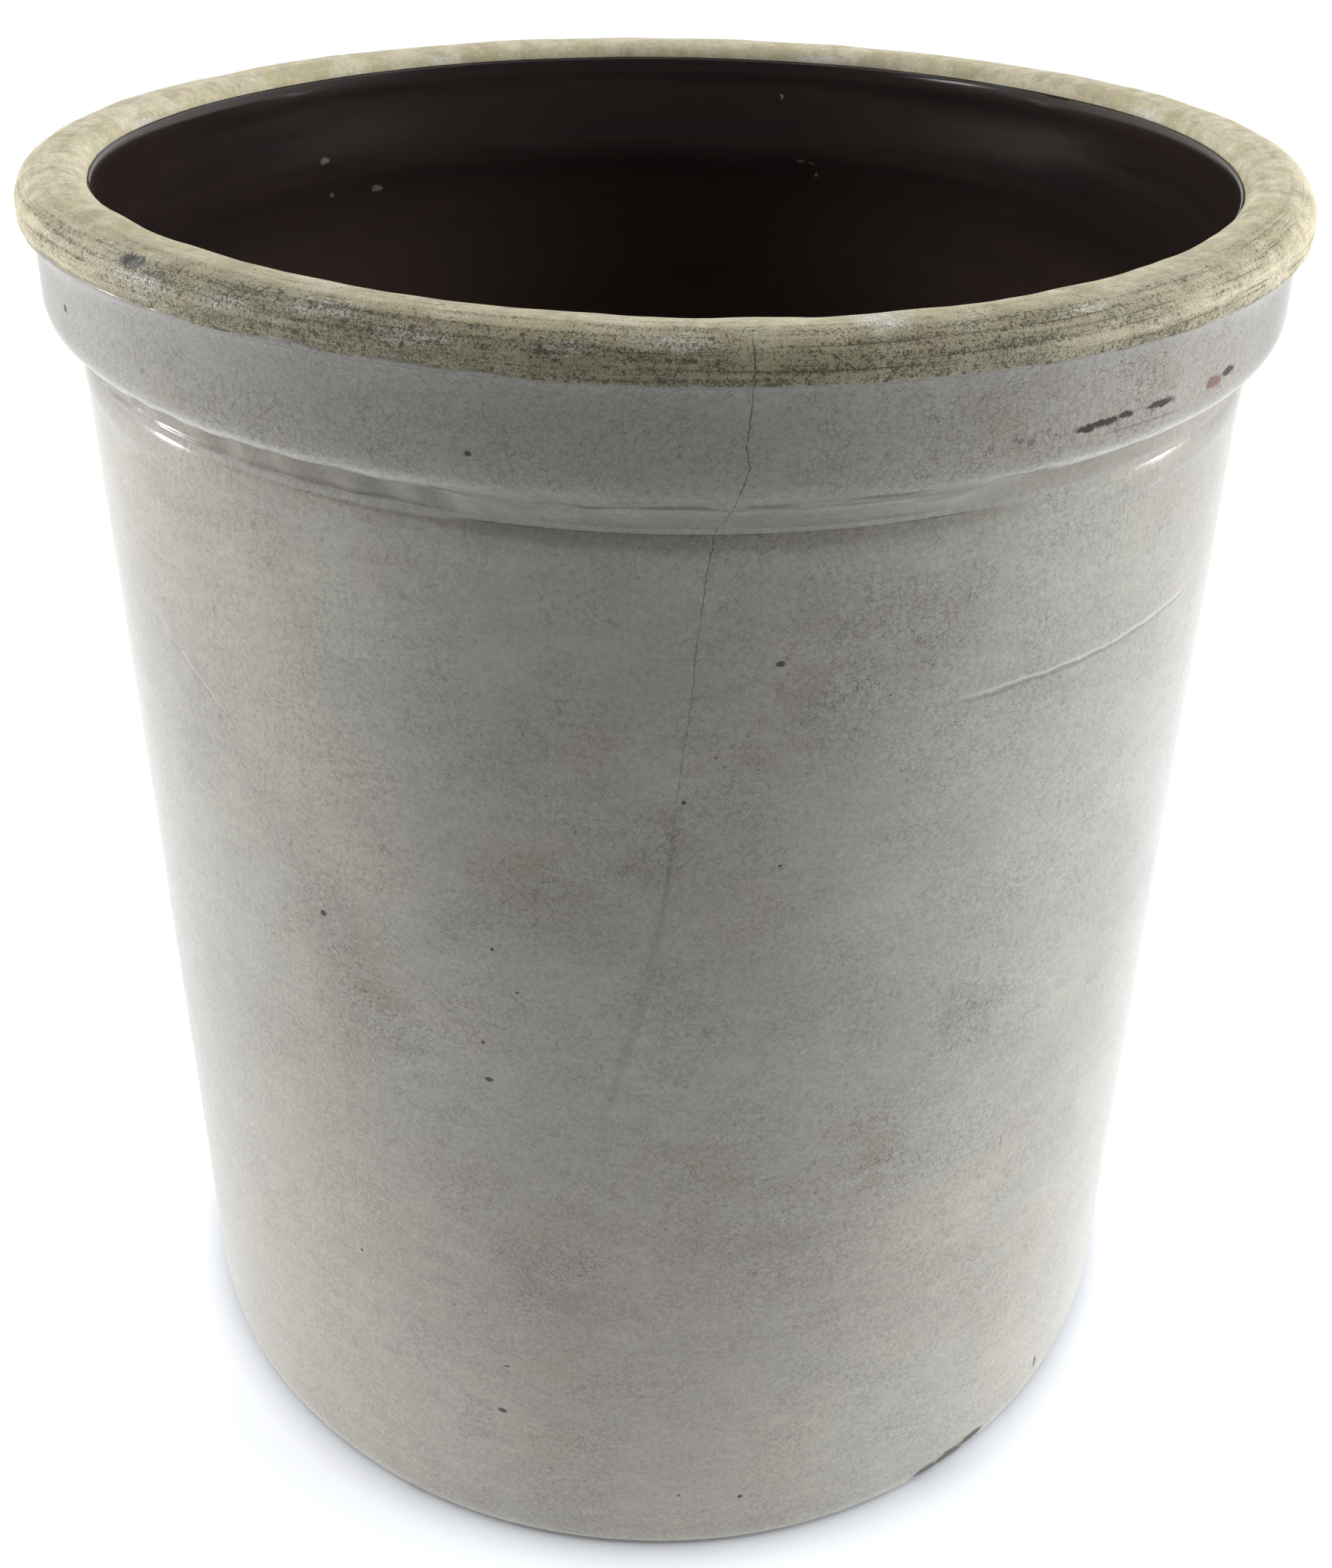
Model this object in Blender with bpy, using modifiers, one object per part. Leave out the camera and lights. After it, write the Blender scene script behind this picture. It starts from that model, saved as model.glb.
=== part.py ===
"""Stoneware crock: a turned pot of fired clay, with a pale glaze coat outside and a dark slip coat inside."""

import math

import bpy

# Sizes of the fired clay pot, in metres
HEIGHT = 0.2940
BODY_RADIUS = 0.1236
WALL_TAPER = 0.0010
WALL_THICKNESS = 0.0082
FLOOR_THICKNESS = 0.0110
FLOOR_FILLET = 0.0140

# The rolled lip, left bare
LIP_WIDTH = 0.0140
LIP_HEIGHT = 0.0092
LIP_OVERHANG = 0.0042
LIP_LAND = 0.0025
LIP_INNER_ROUND = 0.0045
LIP_INNER_DROP = 0.0040
LIP_OUTER_DROP = 0.0062
LIP_CORNER = 0.0012
MOUTH_FLARE_HEIGHT = 0.0320

# The collar under the lip, and the neck groove under the collar
COLLAR_HEIGHT = 0.0183
COLLAR_FLARE = 0.0004
COLLAR_OVERHANG = 0.0065
COLLAR_ROUND = 0.0015
COVE_HEIGHT = 0.0045
NECK_DEPTH = 0.0008
NECK_HEIGHT = 0.0020
SHOULDER_HEIGHT = 0.0045

# The foot, left bare where the pot stood in the kiln
FOOT_ROUND = 0.0020
FOOT_ROUND_HEIGHT = 0.0035
BARE_FOOT_HEIGHT = 0.0020
FOOT_RING_WIDTH = 0.0160
FOOT_RECESS = 0.0012
FOOT_RECESS_SLOPE = 0.0030

# The two coats, and the seam that keeps each one apart from the clay
GLAZE_THICKNESS = 0.0007
SLIP_THICKNESS = 0.0007
SEAM = 0.0003

TURNS = 64
MERGE_DISTANCE = 0.00001
SHARP_ANGLE = math.radians(35)


def arc(centre_r, centre_z, half_width, half_height, start, end, steps):
    """Points on an ellipse, from one angle to another in degrees, both ends included."""
    points = []
    for step in range(steps + 1):
        angle = math.radians(start + (end - start) * step / steps)
        points.append((centre_r + half_width * math.cos(angle), centre_z + half_height * math.sin(angle)))
    return points


def sweep(start, end, steps):
    """Points on a soft S from start to end, upright at both ends, without the first point."""
    points = []
    for step in range(1, steps + 1):
        part = step / steps
        blend = (1 - math.cos(math.pi * part)) / 2
        points.append((start[0] + (end[0] - start[0]) * blend, start[1] + (end[1] - start[1]) * part))
    return points


def radii():
    """The radii that follow from the body's, from the neck out to the lip and in to the cavity."""
    neck = BODY_RADIUS - NECK_DEPTH
    collar = neck + COLLAR_OVERHANG
    collar_top = collar - COLLAR_FLARE
    lip = collar_top + LIP_OVERHANG
    return {
        "body": BODY_RADIUS,
        "base": BODY_RADIUS - WALL_TAPER,
        "neck": neck,
        "collar": collar,
        "collar_top": collar_top,
        "lip": lip,
        "mouth": lip - LIP_WIDTH,
        "cavity_top": BODY_RADIUS - WALL_THICKNESS,
        "cavity_base": BODY_RADIUS - WALL_TAPER - WALL_THICKNESS,
    }


def inner_face(at):
    """The clay inside the pot, from the middle of its floor out and up to the mouth."""
    floor = FLOOR_THICKNESS
    mouth = HEIGHT - LIP_INNER_DROP
    fillet_centre = (at["cavity_base"] - FLOOR_FILLET, floor + FLOOR_FILLET)
    points = [(0.0, floor)]
    points += arc(*fillet_centre, FLOOR_FILLET, FLOOR_FILLET, -90, 0, 4)
    flare_start = (at["cavity_top"], mouth - MOUTH_FLARE_HEIGHT)
    points.append(flare_start)
    points += sweep(flare_start, (at["mouth"], mouth), 5)
    return points


def lip_face(at):
    """The bare lip: a round inner edge, a flat land on top, a round outer face and a crisp lower corner."""
    inner_centre = (at["mouth"] + LIP_INNER_ROUND, HEIGHT - LIP_INNER_DROP)
    land_end = at["mouth"] + LIP_INNER_ROUND + LIP_LAND
    outer_centre = (land_end, HEIGHT - LIP_OUTER_DROP)
    corner_centre = (at["lip"] - LIP_CORNER, HEIGHT - LIP_HEIGHT + LIP_CORNER)
    points = arc(*inner_centre, LIP_INNER_ROUND, LIP_INNER_DROP, 180, 90, 4)[1:]
    points += arc(*outer_centre, at["lip"] - land_end, LIP_OUTER_DROP, 90, 0, 5)
    points += arc(*corner_centre, LIP_CORNER, LIP_CORNER, 0, -90, 3)
    return points


def outer_face(at):
    """The clay outside the pot: down the collar, round its edge, in by the cove, and down the neck and wall."""
    collar_top = (at["collar_top"], HEIGHT - LIP_HEIGHT)
    round_centre = (at["collar"] - COLLAR_ROUND, collar_top[1] - COLLAR_HEIGHT)
    cove_centre = (round_centre[0], round_centre[1] - COLLAR_ROUND - COVE_HEIGHT)
    neck_end = (at["neck"], cove_centre[1] - NECK_HEIGHT)
    wall_top = (at["body"], neck_end[1] - SHOULDER_HEIGHT)
    points = [collar_top]
    points += arc(*round_centre, COLLAR_ROUND, COLLAR_ROUND, 0, -90, 3)
    points += arc(*cove_centre, round_centre[0] - at["neck"], COVE_HEIGHT, 90, 180, 5)[1:]
    points.append(neck_end)
    points += sweep(neck_end, wall_top, 4)
    points.append((at["base"], FOOT_ROUND_HEIGHT + BARE_FOOT_HEIGHT))
    return points


def foot_face(at):
    """The bare foot: a rounded edge, a flat ring to stand on and a shallow recess within it."""
    edge_centre = (at["base"] - FOOT_ROUND, FOOT_ROUND_HEIGHT)
    ring_inside = at["base"] - FOOT_ROUND - FOOT_RING_WIDTH
    points = arc(*edge_centre, FOOT_ROUND, FOOT_ROUND_HEIGHT, 0, -90, 3)
    points += [(ring_inside, 0.0), (ring_inside - FOOT_RECESS_SLOPE, FOOT_RECESS), (0.0, FOOT_RECESS)]
    return points


def offset(path, distances):
    """The path moved away from the clay, each point along its own normal by its own distance."""
    moved = []
    for index, (r, z) in enumerate(path):
        before = path[max(index - 1, 0)]
        after = path[min(index + 1, len(path) - 1)]
        run, rise = after[0] - before[0], after[1] - before[1]
        share = distances[index] / math.hypot(run, rise)
        moved.append((r - rise * share, z + run * share))
    return moved


def coat(path, thickness):
    """The section of a coat on the clay, half as thick at each edge where it runs out."""
    depths = [SEAM + thickness] * len(path)
    depths[-1] -= thickness / 2
    if path[0][0] > 0:
        depths[0] -= thickness / 2
    return offset(path, depths) + offset(path, [SEAM] * len(path))[::-1]


def fired_surface(name, colour, roughness):
    """A plain material of one colour for a fired surface."""
    material = bpy.data.materials.new(name)
    material.use_nodes = True
    shader = material.node_tree.nodes["Principled BSDF"]
    shader.inputs["Base Color"].default_value = (*colour, 1.0)
    shader.inputs["Roughness"].default_value = roughness
    shader.inputs["Metallic"].default_value = 0.0
    material.diffuse_color = (*colour, 1.0)
    return material


def turned(name, section, closed, material, collection):
    """A solid of revolution about Z from its section, which runs down its outer side."""
    mesh = bpy.data.meshes.new(name)
    links = [(index, index + 1) for index in range(len(section) - 1)]
    if closed:
        links.append((len(section) - 1, 0))
    mesh.from_pydata([(r, 0.0, z) for r, z in section], links, [])
    mesh.materials.append(material)
    piece = bpy.data.objects.new(name, mesh)
    collection.objects.link(piece)
    screw = piece.modifiers.new("Turn", "SCREW")
    screw.axis = "Z"
    screw.angle = math.tau
    screw.steps = TURNS
    screw.render_steps = TURNS
    screw.use_merge_vertices = True
    screw.merge_threshold = MERGE_DISTANCE
    screw.use_smooth_shade = True
    graph = bpy.context.evaluated_depsgraph_get()
    turned_mesh = bpy.data.meshes.new_from_object(piece.evaluated_get(graph))
    piece.modifiers.clear()
    piece.data = turned_mesh
    turned_mesh.name = name
    bpy.data.meshes.remove(mesh)
    turned_mesh.shade_smooth()
    turned_mesh.set_sharp_from_angle(angle=SHARP_ANGLE)
    return piece


def clear_scene():
    for thing in list(bpy.data.objects):
        bpy.data.objects.remove(thing)


def build():
    clear_scene()
    crock = bpy.data.collections.new("stoneware_crock")
    bpy.context.scene.collection.children.link(crock)
    at = radii()
    inside, outside = inner_face(at), outer_face(at)

    bare_clay = fired_surface("bare_stoneware", (0.53, 0.48, 0.33), 0.75)
    pot = inside + lip_face(at) + outside + foot_face(at)
    turned("stoneware_body", pot, False, bare_clay, crock)

    # The outer coat starts a seam's width under the lip, and stops above the bare foot.
    pale_glaze = fired_surface("crackled_glaze", (0.42, 0.41, 0.38), 0.18)
    glazed = [(outside[0][0], outside[0][1] - SEAM)] + outside[1:]
    turned("outer_glaze", coat(glazed, GLAZE_THICKNESS), True, pale_glaze, crock)

    dark_slip = fired_surface("dark_slip_glaze", (0.012, 0.008, 0.007), 0.15)
    turned("inner_slip_glaze", coat(inside, SLIP_THICKNESS), False, dark_slip, crock)


build()
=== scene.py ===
"""Stoneware crock: bare clay at the lip and foot, a crackled pale glaze outside and a dark slip inside."""

import math

import bmesh
import bpy
import numpy as np
from mathutils import Matrix, Vector


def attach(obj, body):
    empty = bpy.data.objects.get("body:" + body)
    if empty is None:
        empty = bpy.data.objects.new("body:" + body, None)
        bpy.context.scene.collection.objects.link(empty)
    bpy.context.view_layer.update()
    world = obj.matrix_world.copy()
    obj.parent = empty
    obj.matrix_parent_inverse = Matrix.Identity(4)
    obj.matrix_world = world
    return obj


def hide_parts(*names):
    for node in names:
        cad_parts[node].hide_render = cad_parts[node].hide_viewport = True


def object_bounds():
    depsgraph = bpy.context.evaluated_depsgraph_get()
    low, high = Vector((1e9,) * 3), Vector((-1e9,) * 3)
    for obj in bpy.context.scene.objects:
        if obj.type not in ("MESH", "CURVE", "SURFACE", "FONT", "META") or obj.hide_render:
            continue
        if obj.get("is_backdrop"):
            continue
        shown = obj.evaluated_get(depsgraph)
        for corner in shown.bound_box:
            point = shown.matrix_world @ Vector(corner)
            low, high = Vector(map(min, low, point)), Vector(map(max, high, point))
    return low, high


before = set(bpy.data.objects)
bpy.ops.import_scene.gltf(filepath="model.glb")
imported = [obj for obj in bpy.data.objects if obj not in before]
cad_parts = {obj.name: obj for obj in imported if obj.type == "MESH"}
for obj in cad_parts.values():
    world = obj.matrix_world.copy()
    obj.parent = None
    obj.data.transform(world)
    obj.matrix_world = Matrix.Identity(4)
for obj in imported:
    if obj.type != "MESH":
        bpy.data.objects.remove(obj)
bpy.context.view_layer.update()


# The pot is one wall of buff stoneware, thrown on the wheel, turned true with a rib and fired hard.
# Its rolled lip and the foot it stood on in the kiln stay bare, and the two coats hide the rest.
# Its sizes are in millimetres, and its places are degrees round from the front, then heights.
POT_HEIGHT = 294.0
LIP_RADIUS = 133.1
LIP_WIDEST = 287.8
LIP_UNDERSIDE = 284.8
LIP_CORNER = 1.2
LAND_INSIDE, LAND_OUTSIDE = 123.6, 126.1
MOUTH_RADIUS, MOUTH_EDGE = 119.1, 290.0
MOUTH_FLARE = 32.0
COLLAR_TOP_RADIUS, COLLAR_RADIUS = 129.4, 129.7
COLLAR_EDGE, COLLAR_ROUND, COLLAR_DROP = 270.6, 3.4, 5.6
GROOVE_RADIUS, GROOVE_TOP, GROOVE_BOTTOM = 123.6, 264.1, 260.4
NECK_RADIUS, NECK_BOTTOM, WRINKLE = 122.9, 259.1, 263.3
SHOULDER_BOW = 2.3
WALL_RADIUS, WALL_TOP = 123.6, 251.6
BASE_RADIUS, GLAZE_END = 122.6, 5.5
FOOT_ROUND, FOOT_ROUND_HEIGHT = 2.0, 3.5
FOOT_RING, FOOT_SLOPE, FOOT_RECESS = 16.0, 3.0, 1.2
CAVITY_TOP_RADIUS, CAVITY_BASE_RADIUS = 115.4, 114.4
CAVITY_FLOOR, CAVITY_FILLET = 11.0, 14.0
# The rim warped as it dried and fired: waves round it, the rise of each and the side that it lifts.
WARP = ((1, 0.40, -104), (2, 0.85, 109), (3, 0.44, 72.5))
SQUEEZE, SQUEEZE_SIDE = 0.5, 90.0
# The rim's roll is a millimetre shallower in front: its lower corner rises between these heights.
SHALLOW, SHALLOW_MIDDLE, SHALLOW_REACH = 1.1, -1.0, 37.0
SHALLOW_FROM, SHALLOW_TO, ROLL_INSIDE = 281.0, 290.5, 126.0
POT_COLUMNS = 720


def bow(centre, half_width, half_height, start, end, steps):
    """Points along a bow of an ellipse, from one angle to another in degrees, both ends included."""
    angles = np.radians(np.linspace(start, end, steps + 1))
    return [(centre[0] + half_width * math.cos(a), centre[1] + half_height * math.sin(a)) for a in angles]


def rib(start, end, step):
    """Points of a straight run, as a rib leaves it, about a step apart and without the first."""
    count = max(1, round(math.dist(start, end) / step))
    return [tuple(np.add(start, np.subtract(end, start) * part / count)) for part in range(1, count + 1)]


def swing(start, end, steps):
    """Points of a soft S that is upright at both ends, without the first."""
    blends = [(1 - math.cos(math.pi * part / steps)) / 2 for part in range(1, steps + 1)]
    rises = [part / steps for part in range(1, steps + 1)]
    return [
        (start[0] + (end[0] - start[0]) * blend, start[1] + (end[1] - start[1]) * rise)
        for blend, rise in zip(blends, rises)
    ]


def facing(outline):
    """The way each point of an outline faces, away from the clay."""
    run = np.gradient(np.asarray(outline, float), axis=0)
    return np.stack([-run[:, 1], run[:, 0]], axis=1) / np.linalg.norm(run, axis=1)[:, None]


def laid_on(outline, depth):
    """The outline of a coat's surface, so many millimetres out from the clay's."""
    return np.asarray(outline, float) + facing(outline) * np.reshape(depth, (-1, 1))


def spread(outline, count):
    """The same outline with its points spaced evenly, count of them."""
    outline = np.asarray(outline, float)
    run = np.concatenate([[0.0], np.cumsum(np.linalg.norm(np.diff(outline, axis=0), axis=1))])
    at = np.linspace(0.0, run[-1], count)
    return np.stack([np.interp(at, run, outline[:, 0]), np.interp(at, run, outline[:, 1])], axis=1)


def hump(at, middle, reach, power=2):
    """A soft hump: 1 at its middle, and gone a little beyond its reach."""
    return np.exp(-(((at - middle) / reach) ** power))


def ramp(at, start, length):
    """A straight ramp from 0 at its start to 1 at its end. A length below zero runs the other way."""
    return np.clip((at - start) / length, 0, 1)


def soft_step(at, middle, length):
    """A soft step from 0 to 1. A length below zero runs the other way."""
    return 1 / (1 + np.exp(-(at - middle) / length))


def keep(mesh, name, values):
    """Keeps a number for each point of a mesh, which its material can read."""
    mesh.attributes.new(name, "FLOAT", "POINT").data.foreach_set("value", values)


def thrown(name, outline, columns, swell=0.0, shift=0.0, ring=False):
    """A turned mesh from an outline that runs down its outer side. Swell pushes its points out and shift
    moves them out from the axis and up, both in millimetres for every point round the pot."""
    outline = np.asarray(outline, float)
    rows = len(outline)
    turn = np.radians(np.arange(columns) * 360.0 / columns - 180.0)
    across = facing(outline)
    swell = np.broadcast_to(swell, (rows, columns))
    shift = np.broadcast_to(shift, (rows, columns, 2))
    radius = outline[:, 0:1] + across[:, 0:1] * swell + shift[:, :, 0]
    height = outline[:, 1:2] + across[:, 1:2] * swell + shift[:, :, 1]
    in_front = hump(np.degrees(turn), SHALLOW_MIDDLE, SHALLOW_REACH, 4)
    by_corner = ramp(height, SHALLOW_FROM, 3.5) * ramp(height, SHALLOW_TO, -4.0)
    height = height + SHALLOW * in_front * by_corner * (outline[:, 0:1] > ROLL_INSIDE)
    # The warp grows towards the rim, and the foot stays flat.
    share = (np.clip(height, 0, None) / POT_HEIGHT) ** 3
    for waves, rise, side in WARP:
        height = height + share * rise * np.cos(waves * (turn - math.radians(side)))
    squeeze = SQUEEZE * np.cos(2 * (turn - math.radians(SQUEEZE_SIDE)))
    radius = radius + share * squeeze * (outline[:, 0:1] > 100)
    points = np.stack([radius * np.sin(turn), -radius * np.cos(turn), height], axis=2).reshape(-1, 3)
    along = np.concatenate([[0.0], np.cumsum(np.linalg.norm(np.diff(outline, axis=0), axis=1))])
    faces = []
    last = rows if ring else rows - 1
    for row in range(last):
        upper, lower = row * columns, (row + 1) % rows * columns
        if outline[row][0] < 0.001:
            faces += [(upper, lower + c, lower + (c + 1) % columns) for c in range(columns)]
        elif outline[(row + 1) % rows][0] < 0.001:
            faces += [(upper + c, lower, upper + (c + 1) % columns) for c in range(columns)]
        else:
            pairs = [(c, (c + 1) % columns) for c in range(columns)]
            faces += [(upper + c, lower + c, lower + d, upper + d) for c, d in pairs]
    mesh = bpy.data.meshes.new(name)
    mesh.from_pydata((points * 0.001).tolist(), [], faces)
    keep(mesh, "along", np.repeat(along, columns))
    keep(mesh, "rise", np.repeat(outline[:, 1], columns))
    mesh.shade_smooth()
    piece = bpy.data.objects.new(name, mesh)
    bpy.context.scene.collection.objects.link(piece)
    return piece


def remove_spares(piece):
    """Drops the points that a pole leaves over, which no face uses."""
    mesh = piece.data
    used = np.zeros(len(mesh.vertices), bool)
    corners = np.empty(len(mesh.loops), np.int32)
    mesh.loops.foreach_get("vertex_index", corners)
    used[corners] = True
    if used.all():
        return
    shell = bmesh.new()
    shell.from_mesh(mesh)
    bmesh.ops.delete(shell, geom=[v for v in shell.verts if not used[v.index]], context="VERTS")
    shell.to_mesh(mesh)
    shell.free()


def linear(hex_colour):
    """An sRGB hex colour as the linear colour that a node takes."""
    parts = [int(hex_colour[i : i + 2], 16) / 255 for i in (1, 3, 5)]
    return tuple(p / 12.92 if p <= 0.04045 else ((p + 0.055) / 1.055) ** 2.4 for p in parts) + (1.0,)


def feed(material, node, inputs):
    """Gives a node's inputs their numbers, hex colours, or the outputs that feed them. A node among them
    stands for the first output that it has in use."""
    for socket, value in inputs.items():
        if isinstance(value, str):
            value = linear(value)
        if isinstance(value, bpy.types.Node):
            value = next(output for output in value.outputs if output.enabled)
        if isinstance(value, bpy.types.NodeSocket):
            material.node_tree.links.new(value, node.inputs[socket])
        else:
            node.inputs[socket].default_value = value


def add(material, kind, *values, **named):
    """Adds a node. A word after its kind is its operation, or what a Mix mixes. The values go to the inputs
    that it has in use, in their order. A name in small letters is a setting, and another one is an input."""
    kind, *mode = kind.split()
    node = material.node_tree.nodes.new("ShaderNode" + kind)
    if mode:
        setattr(node, "data_type" if kind == "Mix" else "operation", mode[0])
    for name, value in named.items():
        if name.islower():
            setattr(node, name, value)
    in_use = [index for index, socket in enumerate(node.inputs) if socket.enabled]
    feed(material, node, dict(zip(in_use, values)))
    feed(material, node, {name: value for name, value in named.items() if not name.islower()})
    return node


def placed(material):
    """A material's place in millimetres, its axes, how far it lies to the front, and its turn from there."""
    place = add(material, "TexCoord").outputs["Object"]
    mm = add(material, "VectorMath MULTIPLY", place, (1000, 1000, 1000))
    axes = add(material, "SeparateXYZ", mm)
    toward_front = add(material, "Math MULTIPLY", axes.outputs[1], -1)
    round_turn = add(material, "Math ARCTAN2", axes.outputs[0], toward_front)
    return mm, axes, toward_front, round_turn


def wobble(material, place, **noise):
    """Noise round zero in each direction, to shake a place with."""
    shake = add(material, "TexNoise", place, **noise).outputs["Color"]
    return add(material, "VectorMath SUBTRACT", shake, (0.5, 0.5, 0.5))


def surface(name):
    """A new material and its shader."""
    material = bpy.data.materials.new(name)
    material.use_nodes = True
    return material, material.node_tree.nodes["Principled BSDF"]


inside_wall = [(0.0, CAVITY_FLOOR)]
inside_wall += rib((0.0, CAVITY_FLOOR), (CAVITY_BASE_RADIUS - CAVITY_FILLET, CAVITY_FLOOR), 9.0)
fillet_centre = (CAVITY_BASE_RADIUS - CAVITY_FILLET, CAVITY_FLOOR + CAVITY_FILLET)
inside_wall += bow(fillet_centre, CAVITY_FILLET, CAVITY_FILLET, -90, 0, 8)[1:]
flare_start = (CAVITY_TOP_RADIUS, MOUTH_EDGE - MOUTH_FLARE)
inside_wall += rib(inside_wall[-1], flare_start, 6.0)
inside_wall += swing(flare_start, (MOUTH_RADIUS, MOUTH_EDGE), 16)

lip = bow((LAND_INSIDE, MOUTH_EDGE), LAND_INSIDE - MOUTH_RADIUS, POT_HEIGHT - MOUTH_EDGE, 180, 90, 10)[1:]
lip += rib((LAND_INSIDE, POT_HEIGHT), (LAND_OUTSIDE, POT_HEIGHT), 0.7)
lip += bow((LAND_OUTSIDE, LIP_WIDEST), LIP_RADIUS - LAND_OUTSIDE, POT_HEIGHT - LIP_WIDEST, 90, 0, 18)[1:]
lip += rib((LIP_RADIUS, LIP_WIDEST), (LIP_RADIUS, LIP_UNDERSIDE + LIP_CORNER), 0.6)
lip += bow((LIP_RADIUS - LIP_CORNER, LIP_UNDERSIDE + LIP_CORNER), LIP_CORNER, LIP_CORNER, 0, -90, 4)[1:]
lip += rib((LIP_RADIUS - LIP_CORNER, LIP_UNDERSIDE), (COLLAR_TOP_RADIUS, LIP_UNDERSIDE), 0.8)

collar_centre = (COLLAR_RADIUS - COLLAR_ROUND, COLLAR_EDGE)
collar = rib((COLLAR_TOP_RADIUS, LIP_UNDERSIDE), (COLLAR_RADIUS, COLLAR_EDGE), 1.4)
collar += bow(collar_centre, COLLAR_ROUND, COLLAR_DROP, 0, -56, 10)[1:]
# The collar rolls right under, into the upright groove that the rib cut for the neck. Below it is a tight
# crease where the shoulder begins.
groove = bow(collar_centre, COLLAR_ROUND, COLLAR_DROP, -56, -90, 5)[1:]
groove += [(GROOVE_RADIUS + 1.3, GROOVE_TOP + 0.8), (GROOVE_RADIUS + 0.4, GROOVE_TOP + 0.5)]
groove += [(GROOVE_RADIUS, GROOVE_TOP)]
groove += rib(groove[-1], (GROOVE_RADIUS, GROOVE_BOTTOM), 0.6)
groove += rib(groove[-1], (NECK_RADIUS, NECK_BOTTOM), 0.6)
shoulder = [(NECK_RADIUS - 0.20, NECK_BOTTOM - 0.45), (NECK_RADIUS - 0.24, NECK_BOTTOM - 0.85)]
shoulder_centre = (WALL_RADIUS - SHOULDER_BOW, WALL_TOP)
shoulder += bow(shoulder_centre, SHOULDER_BOW, NECK_BOTTOM - 1.1 - WALL_TOP, 64, 0, 14)
wall = rib((WALL_RADIUS, WALL_TOP), (BASE_RADIUS, GLAZE_END), 4.2)

foot = rib((BASE_RADIUS, GLAZE_END), (BASE_RADIUS, FOOT_ROUND_HEIGHT), 0.7)
foot_centre = (BASE_RADIUS - FOOT_ROUND, FOOT_ROUND_HEIGHT)
glazed_foot = foot + bow(foot_centre, FOOT_ROUND, FOOT_ROUND_HEIGHT, 0, -58, 5)[1:]
foot += bow(foot_centre, FOOT_ROUND, FOOT_ROUND_HEIGHT, 0, -90, 6)[1:]
ring_inside = BASE_RADIUS - FOOT_ROUND - FOOT_RING
foot += rib((BASE_RADIUS - FOOT_ROUND, 0.0), (ring_inside, 0.0), 4.0)
foot += [(ring_inside - FOOT_SLOPE / 2, FOOT_RECESS / 2), (ring_inside - FOOT_SLOPE, FOOT_RECESS)]
foot += rib((ring_inside - FOOT_SLOPE, FOOT_RECESS), (0.0, FOOT_RECESS), 12.0)

pot_outline = inside_wall[::3] + [inside_wall[-1]] + lip
pot_outline += collar[2::3] + groove[::2] + shoulder[::3] + wall[::8] + foot
turn = np.arange(POT_COLUMNS) * 360.0 / POT_COLUMNS - 180.0
pot_swell = np.zeros((len(pot_outline), POT_COLUMNS))
# Millimetres round the crock.
GIRTH = 780


def uneven(turns, heights, count, reach, seed):
    """A soft unevenness round nought that joins up round the pot. Reach is its rough size in millimetres."""
    dice = np.random.default_rng(seed)
    field = np.zeros((len(heights), len(turns)))
    for _ in range(count):
        waves_round = dice.integers(1, max(2, int(GIRTH / reach)))
        tall = dice.uniform(-1, 1) * math.tau / reach
        start = dice.uniform(0, math.tau)
        round_pot = np.radians(turns)[None, :] * waves_round
        field += np.cos(round_pot + np.asarray(heights)[:, None] * tall + start)
    return field / math.sqrt(count)


lip_rows = slice(len(inside_wall[::3]) + 1, len(inside_wall[::3]) + 1 + len(lip) - 6)
lip_path = np.array(pot_outline)[lip_rows]
lip_along = np.cumsum(np.linalg.norm(np.diff(lip_path, axis=0, prepend=lip_path[:1]), axis=1))
pot_swell[lip_rows] += 0.10 * uneven(turn, lip_along, 9, 24.0, 3)
pot_swell[lip_rows] += 0.035 * uneven(turn, lip_along, 12, 7.0, 4)

# A chip with a blistered floor on the lip's outer round, left of the front.
CHIP_TURN, CHIP_HEIGHT, CHIP_WIDTH, CHIP_TALL, CHIP_DEPTH = -42.6, 293.1, 3.4, 0.9, 0.5
chip_across = (turn - CHIP_TURN) * math.radians(1) * LIP_RADIUS / CHIP_WIDTH
chip_up = (lip_path[:, 1] - CHIP_HEIGHT) / CHIP_TALL
on_outer_round = (lip_path[:, 0] > LAND_OUTSIDE)[:, None]
chip_bowl = hump(chip_across[None, :] ** 2 + chip_up[:, None] ** 2, 0, 1)
pot_swell[lip_rows] -= on_outer_round * CHIP_DEPTH * chip_bowl

pot = thrown("bare_stoneware_pot", pot_outline, POT_COLUMNS, pot_swell)
remove_spares(pot)

# Bare stoneware: fired clay, matt and a little toothy, IOR 1.5. Its top is rubbed smooth and pale, and its
# outer face is peppered with iron and dirt, scored along the turning, and smeared with lime.
clay, clay_shader = surface("bare fired stoneware")
BUFF, BUFF_PALE, BUFF_GREY, GRIME_AND_SHADE = "#CDC49E", "#E4DCC0", "#B2AE97", "#A19D85"
IRON_SPECK, UMBER, LIME, ROSE, MOSS = "#2A2114", "#776A4C", "#ECECE6", "#B9A392", "#A0A384"
SLATE = "#8F8E88"
mm, axes, toward_front, round_turn = placed(clay)
height = axes.outputs[2]
along_lip = add(clay, "Attribute", attribute_name="along").outputs["Fac"]
rise = add(clay, "Attribute", attribute_name="rise").outputs["Fac"]
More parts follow.
